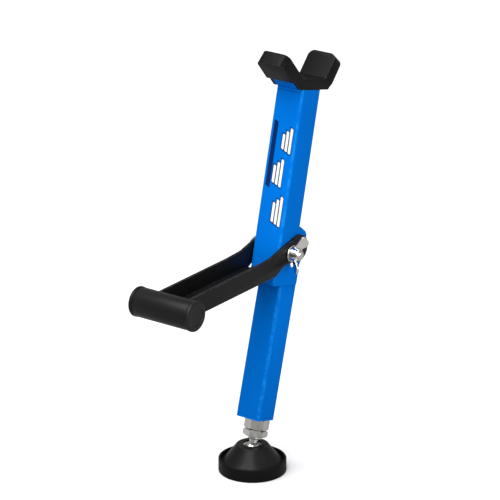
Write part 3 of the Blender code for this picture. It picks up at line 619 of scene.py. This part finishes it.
side_outline, pad_tips = cradle_side(RUBBER_OUT, RUBBER_IN, RUBBER_TIP, 6.0 * MM)
boot = rounded_pads(slab(side_outline, boot_low.y, boot_high.y), pad_tips, 6.0 * MM)
front_rise = BARE[0] * math.tan(math.radians(RISE_DEG[0]))
window = [(tube_axis + BEND_X[0] - BARE[0], plate_low.z - WINDOW_DROP),
          (tube_axis + BEND_X[1] + BARE[1], plate_low.z - WINDOW_DROP),
          (tube_axis + BEND_X[1] + BARE[1], plate_low.z + BARE[1]),
          (tube_axis + BEND_X[1], plate_low.z + PLATE / 2),
          (tube_axis + BEND_X[0], plate_low.z + PLATE / 2),
          (tube_axis + BEND_X[0] - BARE[0], plate_low.z + front_rise + PLATE / 2)]
boot = carved(boot, slab(window, plate_low.y, plate_high.y))
skirt = window[:3] + [(tube_axis + BEND_X[1], plate_low.z), (tube_axis + BEND_X[0], plate_low.z),
                      (tube_axis + BEND_X[0] - BARE[0], plate_low.z + front_rise)]
boot = carved(boot, slab(skirt, 2 * boot_low.y, 2 * boot_high.y))
bmesh.ops.remove_doubles(boot, verts=boot.verts, dist=2e-6)
hand_over("cradle_boot", soften(boot, 0.9 * MM, 4), UPPER, "upper_leg", "black_rubber",
          boot_rubber, "saddle_boot")

# %% [markdown]
# ## The lever
# The foot lever is sheet steel folded into a shallow channel. Its two arms run back along the
# sleeve, to the bolt that they turn on. It keeps the working shape, with the burr-free edges of
# a pressed part.

# %% Lever channel
hand_over("lever_channel_shell", soften(merged_copy("lever_channel"), 0.45 * MM), FLOOR, "lever",
          "black_paint", black_coat, "lever_channel")

# %% [markdown]
# ## The pedal
# The pedal is a short tube across the end of the lever with a moulded cap pushed into each end.
# Both are turned shapes. The tube gets its rounded rims in the profile, and a cap is a flat disc
# with a rolled edge and a shallow dish.

# %% Pedal
ACROSS = Matrix.Rotation(math.radians(90), 4, "X")
tube_min, tube_max = span("pedal_tube", UPPER)
pedal_centre = (tube_min + tube_max) / 2
PEDAL_RADIUS = (tube_max.z - tube_min.z) / 2
PEDAL_WALL = 1.5 * MM
half = (tube_max.y - tube_min.y) / 2
ring = eased([(PEDAL_RADIUS, half, 0.4 * MM), (PEDAL_RADIUS, -half, 0.4 * MM),
              (PEDAL_RADIUS - PEDAL_WALL, -half, 0.4 * MM),
              (PEDAL_RADIUS - PEDAL_WALL, half, 0.4 * MM)], steps=3)
hand_over("pedal_sleeve", turned(ring, 64, closed=True),
          UPPER @ Matrix.Translation(pedal_centre) @ ACROSS, "lever", "black_paint", black_coat,
          "pedal_tube")

CAP_RADIUS = 13.2 * MM
CAP_LIP = 3.0 * MM


def cap_profile():
    plug = PEDAL_RADIUS - PEDAL_WALL - GAP
    corners = [(0, CAP_LIP - 0.5 * MM, 0), (8.4 * MM, CAP_LIP - 0.5 * MM, 0.5 * MM),
               (9.0 * MM, CAP_LIP, 0.4 * MM), (CAP_RADIUS, CAP_LIP, 1.2 * MM),
               (CAP_RADIUS, 0, 0.4 * MM), (plug, 0, 0), (plug, -9.0 * MM, 0.8 * MM),
               (0, -9.0 * MM, 0)]
    return eased(corners, steps=5)


for side, word in ((-1, "near"), (1, "far")):
    turn = Matrix.Rotation(math.radians(-90 * side), 4, "X")
    edge = pedal_centre + Vector((0, side * (half + GAP), 0))
    hand_over("pedal_end_cap_" + word, turned(cap_profile(), 64),
              UPPER @ Matrix.Translation(edge) @ turn, "lever", "cap_plastic", cap_plastic,
              "pedal_cap_" + word)

# %% [markdown]
# ## Threads
# A thread can be a picture in a bump map, but then its outline stays straight. Here it is a real
# ridge: a small closed section that is spun and lifted at the same time, which makes a helix.
# Its ends are capped, so that it is a closed solid round the core.

# %% Thread helper
def add_thread(shape, radius, pitch, low, high, steps=36):
    depth = 0.54 * pitch
    section = [(radius - depth, -0.42), (radius, -0.08), (radius, 0.08), (radius - depth, 0.42)]
    points = [shape.verts.new((r, 0, low + (share + 0.5) * pitch)) for r, share in section]
    ring = [shape.edges.new((points[i - 1], points[i])) for i in range(len(points))]
    turns = (high - low) / pitch - 1
    count = int(turns * steps)
    made = bmesh.ops.spin(shape, geom=points + ring, cent=(0, 0, 0), axis=(0, 0, 1),
                          dvec=(0, 0, pitch / steps), angle=math.tau * count / steps, steps=count)
    last = [item for item in made["geom_last"] if isinstance(item, bmesh.types.BMVert)]
    shape.faces.new(points)
    shape.faces.new(last)
    return shape


# %% [markdown]
# ## The ball stud
# The leg ends in a ball stud: a threaded rod with a neck and a ball, turned from one bar. The
# core is a spun profile and the thread is added round it.

# %% Ball stud
BALL_RADIUS = 8.0 * MM
NECK_RADIUS = 4.2 * MM
ROD_RADIUS = 6.0 * MM
ROD_PITCH = 1.75 * MM
ROD_START, ROD_END = 10.5 * MM, 60.0 * MM
ROD_CORE = ROD_RADIUS - 0.5 * ROD_PITCH
neck_angle = math.acos(NECK_RADIUS / BALL_RADIUS)
ball_arc = [(BALL_RADIUS * math.cos(turn), BALL_RADIUS * math.sin(turn))
            for turn in [neck_angle - (neck_angle + math.pi / 2) * step / 24 for step in range(25)]]
stud = [(0, ROD_END), (ROD_CORE - 0.6 * MM, ROD_END), (ROD_CORE, ROD_END - 0.6 * MM),
        (ROD_CORE, ROD_START + 0.4 * MM), (ROD_CORE + 0.8 * MM, ROD_START),
        (NECK_RADIUS, ROD_START - 0.8 * MM)] + ball_arc
ball_stud = add_thread(turned(stud, 48), ROD_RADIUS, ROD_PITCH, ROD_START, ROD_END)
hand_over("ball_stud", ball_stud, STEM, "stem", "zinc_steel", bright_zinc, "ball_stem")

# %% [markdown]
# ## Hexagons with a real chamfer
# A nut is a hexagon whose corners are cut back by a cone, which leaves the curved line on each
# flat. The outline is a circle of points pulled out to the hexagon, and the height of each point
# falls with its distance past the flats. Rings are extruded from rings, so one helper makes the
# two nuts and the bolt's head.

# %% Hexagon helper
HEX_SIDES = 72
CHAMFER_SLOPE = math.tan(math.radians(30))


def hex_reach(angle, flats):
    """Distance from the axis to the hexagon's outline at this angle."""
    third = math.radians(60)
    return flats / 2 / math.cos((angle + third / 2) % third - third / 2)


def ring_stack(rings, closed):
    """Loft rings, each a function that gives (radius, height) at an angle."""
    shape = bmesh.new()
    made = bmesh.ops.create_circle(shape, cap_ends=False, segments=HEX_SIDES, radius=1.0)
    loop = list({edge for vertex in made["verts"] for edge in vertex.link_edges})
    first = loop
    for index, ring in enumerate(rings):
        if index:
            grown = bmesh.ops.extrude_edge_only(shape, edges=loop)["geom"]
            loop = [item for item in grown if isinstance(item, bmesh.types.BMEdge)]
        for vertex in {vertex for edge in loop for vertex in edge.verts}:
            angle = math.atan2(vertex.co.y, vertex.co.x)
            radius, height = ring(angle)
            vertex.co = (radius * math.cos(angle), radius * math.sin(angle), height)
    if closed:
        bmesh.ops.bridge_loops(shape, edges=first + loop)
    else:
        bmesh.ops.contextual_create(shape, geom=first)
        bmesh.ops.contextual_create(shape, geom=loop)
    return shape


def hex_body(flats, low, high, bore=None, top_only=False):
    """A hexagon from low to high, chamfered at both ends or only at the top."""
    face_radius = 0.475 * flats

    def corner(side, end):
        def ring(angle):
            reach = hex_reach(angle, flats)
            drop = max(0.0, reach - face_radius) * CHAMFER_SLOPE
            return reach, end - side * (0 if top_only and side < 0 else drop)
        return ring

    def circle(radius, height):
        return lambda angle: (radius, height)

    under = corner(-1, low)
    rings = [circle(face_radius, low), under, corner(1, high), circle(face_radius, high)]
    if bore:
        rings = [circle(bore, low + 0.6 * MM), circle(bore + 0.6 * MM, low)] + rings
        rings += [circle(bore + 0.6 * MM, high), circle(bore, high - 0.6 * MM)]
    return ring_stack(rings, closed=bool(bore))


# %% [markdown]
# ## The nuts on the adjusting screw
# A long nut is welded under the leg's end plate and carries the thread. A thin jam nut locks it.
# Screwing the stud in or out sets the height of the stand.

# %% Nuts on the screw
HEX_FLATS = 19.0 * MM
NUT_PARK_DEG = 36.5
for name, node, body in (("jam_nut_hex", "jam_nut", "jam_nut"),
                         ("coupling_nut_hex", "coupling_nut", "lower_leg")):
    low, high = span(node, STEM)
    nut = hex_body(HEX_FLATS, low.z, high.z, bore=ROD_RADIUS + 0.15 * MM)
    turn = Matrix.Rotation(math.radians(NUT_PARK_DEG), 4, "Z")
    hand_over(name, nut, STEM @ turn, body, "zinc_steel", bright_zinc, node)

# %% [markdown]
# ## The lever's bolt
# A hexagon bolt goes through the arms and the sleeve from the far side. Its end, with a chamfer
# and a thread, stands out of the wing nut. The washers are thin turned rings with rounded rims.

# %% Bolt and washers
BOLT_RADIUS = 4.0 * MM
BOLT_PITCH = 1.25 * MM
THREAD_LENGTH = 14 * MM
HEAD_HEIGHT, HEAD_FLATS = 5.0 * MM, 13.0 * MM
bolt_at = UPPER.inverted() @ Vector(joints["lever_swing"]["pos_m"])
TO_FAR = UPPER @ Matrix.Translation(bolt_at) @ Matrix.Rotation(math.radians(-90), 4, "X")
bolt_low, bolt_high = span("lever_bolt", TO_FAR)
head_low = bolt_high.z - HEAD_HEIGHT
shank = [(0, bolt_low.z), (BOLT_RADIUS - 1.0 * MM, bolt_low.z),
         (BOLT_RADIUS - 0.5 * BOLT_PITCH, bolt_low.z + 0.6 * MM),
         (BOLT_RADIUS - 0.5 * BOLT_PITCH, bolt_low.z + THREAD_LENGTH),
         (BOLT_RADIUS, bolt_low.z + 14.6 * MM), (BOLT_RADIUS, head_low + 0.5 * MM),
         (0, head_low + 0.5 * MM)]
bolt = add_thread(turned(shank, 40), BOLT_RADIUS, BOLT_PITCH, bolt_low.z + 0.3 * MM,
                  bolt_low.z + THREAD_LENGTH, steps=32)
head = hex_body(HEAD_FLATS, head_low, bolt_high.z, top_only=True)
head_mesh = bpy.data.meshes.new("head")
head.to_mesh(head_mesh)
bolt.from_mesh(head_mesh)
head.free()
bpy.data.meshes.remove(head_mesh)
hand_over("lever_hex_bolt", bolt, TO_FAR, "upper_leg", "zinc_steel", bright_zinc, "lever_bolt")

for word in ("near", "far"):
    low, high = span("lever_washer_" + word, TO_FAR)
    rim = eased([(high.x, high.z, 0.35 * MM), (high.x, low.z, 0.35 * MM),
                 (BOLT_RADIUS + GAP, low.z, 0.2 * MM),
                 (BOLT_RADIUS + GAP, high.z, 0.2 * MM)], steps=3)
    hand_over("plain_washer_" + word, turned(rim, 48, closed=True), TO_FAR, "upper_leg",
              "zinc_steel", bright_zinc, "lever_washer_" + word)

# %% [markdown]
# ## The wing nut
# A wing nut is cast: a tapered hub with two thin wings that flare outwards, and soft fillets
# where they meet. Sharp pieces joined by hand would need each fillet drawn. Here a rough hub and
# two rough wings are joined by a voxel remesh and smoothed, as a casting's edges are soft
# everywhere, and the bore is cut last.

# %% Wing nut
NUT_TURN_DEG = -100.0
WING_TWIST_DEG = 34.0
OUT = UPPER @ Matrix.Translation(bolt_at) @ Matrix.Rotation(math.radians(NUT_TURN_DEG), 4, "Y") \
    @ Matrix.Rotation(math.radians(90), 4, "X")
HUB_RADIUS, HUB_TOP_RADIUS, HUB_HEIGHT = 6.2 * MM, 4.9 * MM, 7.5 * MM
WING_REACH, WING_RISE, WING_THICK = 16.0 * MM, 13.0 * MM, 2.2 * MM
seat = span("wing_nut", OUT)[0].z


def rough_wing(side):
    outline = eased([(BOLT_RADIUS, 0.8 * MM, 0), (HUB_RADIUS, 1.0 * MM, 0),
                     (WING_REACH, 0.55 * WING_RISE, 3.5 * MM),
                     (WING_REACH - 1.0 * MM, WING_RISE, 4.5 * MM),
                     (HUB_TOP_RADIUS + 3.0 * MM, WING_RISE, 3.5 * MM),
                     (BOLT_RADIUS, 0.85 * HUB_HEIGHT, 0)])
    wing = soften(slab(outline, -WING_THICK / 2, WING_THICK / 2), 0.7 * MM)
    turn = Matrix.Rotation(0 if side > 0 else math.pi, 4, "Z")
    twist = Matrix.Rotation(math.radians(WING_TWIST_DEG), 4, "X")
    lift = Matrix.Translation((0, 0, seat))
    bmesh.ops.transform(wing, matrix=lift @ turn @ twist, verts=wing.verts)
    return wing


def cast_together(shapes, voxel, smoothing):
    """Join rough closed shapes by a voxel remesh, then relax the surface."""
    joined = bpy.data.meshes.new("rough_casting")
    whole = bmesh.new()
    for shape in shapes:
        bmesh.ops.recalc_face_normals(shape, faces=shape.faces)
        shape.to_mesh(joined)
        whole.from_mesh(joined)
        shape.free()
    whole.to_mesh(joined)
    whole.free()
    rough = bpy.data.objects.new("rough_casting", joined)
    bpy.context.scene.collection.objects.link(rough)
    remesh = rough.modifiers.new("voxels", "REMESH")
    remesh.mode = "VOXEL"
    remesh.voxel_size = voxel
    result = bmesh.new()
    result.from_object(rough, bpy.context.evaluated_depsgraph_get())
    bpy.data.objects.remove(rough)
    for _ in range(smoothing):
        bmesh.ops.smooth_vert(result, verts=result.verts, factor=0.5, use_axis_x=True,
                              use_axis_y=True, use_axis_z=True)
    return result


hub = turned([(0, seat), (HUB_RADIUS, seat), (HUB_TOP_RADIUS, seat + HUB_HEIGHT),
              (0, seat + HUB_HEIGHT)], 48)
casting = cast_together([hub, rough_wing(1), rough_wing(-1)], 0.3 * MM, 4)
bore = turned([(0, seat - 2 * MM), (BOLT_RADIUS + 0.2 * MM, seat - 2 * MM),
               (BOLT_RADIUS + 0.2 * MM, seat + 2 * WING_RISE), (0, seat + 2 * WING_RISE)], 40)
hand_over("wing_nut_casting", carved(casting, bore), OUT, "wing_nut", "zinc_steel", bright_zinc,
          "wing_nut")

# %% [markdown]
# ## The foot
# The foot is a black pressed cone with a ball socket, standing in a rubber cup. Both are turned.
# The sole has rings cut into it for grip, which only show from below.

# %% Foot
foot_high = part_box("foot_rubber")[1]
FOOT_RADIUS = foot_high.x
RIM_TOP = foot_high.z
RIM_WALL = 2.0 * MM
SOLE = 3.5 * MM
corners = [(0, 0, 0)]
for count in range(5):
    middle = (4.5 + 5.0 * count) * MM
    corners += [(middle - 1.0 * MM, 0, 0.2 * MM), (middle - 0.7 * MM, 0.9 * MM, 0.2 * MM),
                (middle + 0.7 * MM, 0.9 * MM, 0.2 * MM), (middle + 1.0 * MM, 0, 0.2 * MM)]
corners += [(FOOT_RADIUS, 0, 1.0 * MM), (FOOT_RADIUS, RIM_TOP, 0.9 * MM),
            (FOOT_RADIUS - RIM_WALL, RIM_TOP, 0.8 * MM), (FOOT_RADIUS - RIM_WALL, SOLE, 0.6 * MM),
            (0, SOLE, 0)]
hand_over("foot_rubber_cup", turned(eased(corners, steps=4), 96), FLOOR, "foot", "black_rubber",
          boot_rubber, "foot_rubber")

BALL_HEIGHT = joints["foot_turn"]["pos_m"][2]
# The socket is 0.4 mm wider than the working one, so the tilted seat ring passes. Its arc ends
# above the cone's top, which leaves a small folded lip at the mouth.
SOCKET_RADIUS = BALL_RADIUS + 2.2 * MM
MOUTH_RADIUS = 8.2 * MM
CONE_TOP = span("foot_housing", FLOOR)[1].z
CONE_TOP_RADIUS = 14.2 * MM
FLANGE_TOP = 9.0 * MM
GROOVE = 0.6 * MM
BELL_POWER = 1.12
FLANGE_RADIUS = FOOT_RADIUS - RIM_WALL - GAP
CONE_RADIUS = FLANGE_RADIUS - GROOVE
mouth = math.acos(MOUTH_RADIUS / SOCKET_RADIUS)
bottom = math.radians(-78)
socket = [(SOCKET_RADIUS * math.cos(bottom + (mouth - bottom) * step / 20),
           BALL_HEIGHT + SOCKET_RADIUS * math.sin(bottom + (mouth - bottom) * step / 20), 0)
          for step in range(21)]
bell = []
for step in range(1, 15):
    share = step / 14
    reach = CONE_TOP_RADIUS + (CONE_RADIUS - CONE_TOP_RADIUS) * share
    bell.append((reach, FLANGE_TOP + (CONE_TOP - FLANGE_TOP) * (1 - share) ** BELL_POWER, 0))
skirt = [(CONE_TOP_RADIUS, CONE_TOP, 0.8 * MM)] + bell
skirt += [(FLANGE_RADIUS, FLANGE_TOP - GROOVE, 0), (FLANGE_RADIUS, SOLE + GAP, 0.4 * MM),
          (socket[0][0], SOLE + GAP, 0)]
housing = eased(skirt + socket + [(MOUTH_RADIUS, CONE_TOP, 0.8 * MM)], steps=6)
hand_over("foot_cone", turned(housing, 96, closed=True), FLOOR, "foot", "black_paint",
          black_coat, "foot_housing")

# %% [markdown]
# ## The badge on the tube
# The front face carries a printed badge. Here it is a plain pattern of slanted bars in white over
# navy, which spells nothing. A print could be an image, but a film a tenth of a millimetre proud
# or less catches the light at its edge as the real one does.

# %% Badge
FACE_X = tube_low.x
FILM = 0.05 * MM
SLANT = math.tan(math.radians(24))
BAR_CORNER = 0.6 * MM


def film_bar(y_low, y_high, z_low, z_high, proud):
    """A bar on the front face with slanted ends, as a thin closed film."""
    rise = (y_high - y_low) * SLANT
    outline = eased([(y_low, z_low, BAR_CORNER), (y_high, z_low + rise, BAR_CORNER),
                     (y_high, z_high + rise, BAR_CORNER), (y_low, z_high, BAR_CORNER)])
    shape = slab(outline, 0, FILM * proud)
    turn = Matrix(((0, -1, 0, FACE_X), (1, 0, 0, 0), (0, 0, 1, 0), (0, 0, 0, 1)))
    bmesh.ops.transform(shape, matrix=turn, verts=shape.verts)
    return shape


def film_layer(name, bars, proud, material):
    layer = bmesh.new()
    holder = bpy.data.meshes.new(name)
    for bar in bars:
        shape = film_bar(*[side * MM for side in bar], proud)
        shape.to_mesh(holder)
        layer.from_mesh(holder)
        shape.free()
    bpy.data.meshes.remove(holder)
    hand_over(name, layer, UPPER, "upper_leg", "blue_paint", material)


BAR_WIDTH, BAR_PITCH = 2.6, 3.7
BARS_IN_ROW = 3
ROWS = ((-10.4, 82.0, 104.0), (-5.6, 52.0, 76.0), (-10.4, 18.0, 44.0))
bars = [(start + BAR_PITCH * index, start + BAR_PITCH * index + BAR_WIDTH,
         z_low + 1.5 * index, z_high - 3.0 * index)
        for start, z_low, z_high in ROWS for index in range(BARS_IN_ROW)]
shadows = [(y_low - 0.5, y_high + 1.0, z_low - 1.2, z_high + 0.6)
           for y_low, y_high, z_low, z_high in bars]
film_layer("badge_shadow", shadows + [(5.9, 10.4, 50.0, 108.0)], 1, badge_navy)
film_layer("badge_bars", bars, 2, badge_white)

# %% [markdown]
# ## Working pieces that stay as they are
# The pin, the bushes, the spacer and the nylon seats sit inside the knee and the foot. Their
# shapes are already right, so they keep their meshes and only get their finish.

# %% Inner pieces
INNER = {"knee_pin": bright_zinc, "knee_bush_near": bright_zinc, "knee_bush_far": bright_zinc,
         "stop_spacer": bright_zinc, "ball_seat_cup": seat_nylon, "ball_seat_ring": seat_nylon}
for node, material in INNER.items():
    mesh = frame["nodes"][node].data
    mesh.materials.clear()
    mesh.materials.append(material)
print("kept as they are:", sorted(INNER))

# %% [markdown]
# ## Floor, light and camera
# A product picture wants a pale floor that runs out of sight and large soft lights. A wide key
# light on the lever's side and a second one towards the near side give each tube face a slow
# gradient. A wide soft sun lights the tops, and the world fills the rest. The floor is white to
# the camera and a grey card to everything else, so that it doesn't flood the black pieces and
# the zinc with light.

# %% Floor and light
def add_floor(size):
    shape = bmesh.new()
    bmesh.ops.create_grid(shape, x_segments=1, y_segments=1, size=size)
    mesh = bpy.data.meshes.new("studio_floor")
    shape.to_mesh(mesh)
    shape.free()
    floor = bpy.data.objects.new("studio_floor", mesh)
    bpy.context.scene.collection.objects.link(floor)
    paper = bpy.data.materials.new("white_paper")
    paper.use_nodes = True
    tree = paper.node_tree
    shader = tree.nodes["Principled BSDF"]
    shader.inputs["Roughness"].default_value = 0.9
    ray = add_node(tree, "ShaderNodeLightPath")
    shade = add_node(tree, "ShaderNodeMix", data_type="RGBA")
    shade.inputs[6].default_value = (0.35, 0.35, 0.35, 1.0)
    shade.inputs[7].default_value = (0.93, 0.93, 0.93, 1.0)
    tree.links.new(ray.outputs["Is Camera Ray"], shade.inputs["Factor"])
    tree.links.new(shade.outputs[2], shader.inputs["Base Color"])
    mesh.materials.append(paper)


def add_soft_light(name, place, aim, size, watts):
    lamp = bpy.data.lights.new(name, "AREA")
    lamp.shape = "RECTANGLE"
    lamp.size, lamp.size_y = size
    lamp.energy = watts
    holder = bpy.data.objects.new(name, lamp)
    holder.location = place
    holder.rotation_euler = (Vector(aim) - Vector(place)).to_track_quat("-Z", "Y").to_euler()
    bpy.context.scene.collection.objects.link(holder)


add_floor(12.0)
middle = (cad_bounds[0] + cad_bounds[1]) / 2
add_soft_light("key_light", (-0.8, -0.2, 1.05), middle, (0.8, 0.8), 8.5)
add_soft_light("near_light", (-0.3, -1.7, 0.6), middle, (1.4, 1.0), 14.0)
sun = bpy.data.lights.new("sky_light", "SUN")
sun.energy = 2.5
sun.angle = math.radians(50)
sky = bpy.data.objects.new("sky_light", sun)
sky.rotation_euler = (math.radians(-8), math.radians(-14), 0)
bpy.context.scene.collection.objects.link(sky)
world = bpy.data.worlds.new("studio")
world.use_nodes = True
world.node_tree.nodes["Background"].inputs["Color"].default_value = (1.0, 1.0, 1.0, 1.0)
world.node_tree.nodes["Background"].inputs["Strength"].default_value = 0.33
bpy.context.scene.world = world

# %% [markdown]
# The camera stands well back with a long lens, a little above the knee, and looks at the stand
# from the lever's side, so that both faces of the tubes and the side of the lever show.

# %% Camera
AZIMUTH, ELEVATION = math.radians(-53.5), math.radians(20.35)
DISTANCE = 3.115
AIM = Vector((0.0528, 0.0417, 0.1813))
toward = Vector((math.sin(AZIMUTH) * math.cos(ELEVATION), -math.cos(AZIMUTH) * math.cos(ELEVATION),
                 math.sin(ELEVATION)))
lens = bpy.data.cameras.new("camera")
lens.lens = 254.4
lens.sensor_width = 36.0
camera = bpy.data.objects.new("camera", lens)
camera.location = AIM + toward * DISTANCE
camera.rotation_euler = (-toward).to_track_quat("-Z", "Y").to_euler()
bpy.context.scene.collection.objects.link(camera)
bpy.context.scene.camera = camera
bpy.context.scene.view_settings.view_transform = "Standard"
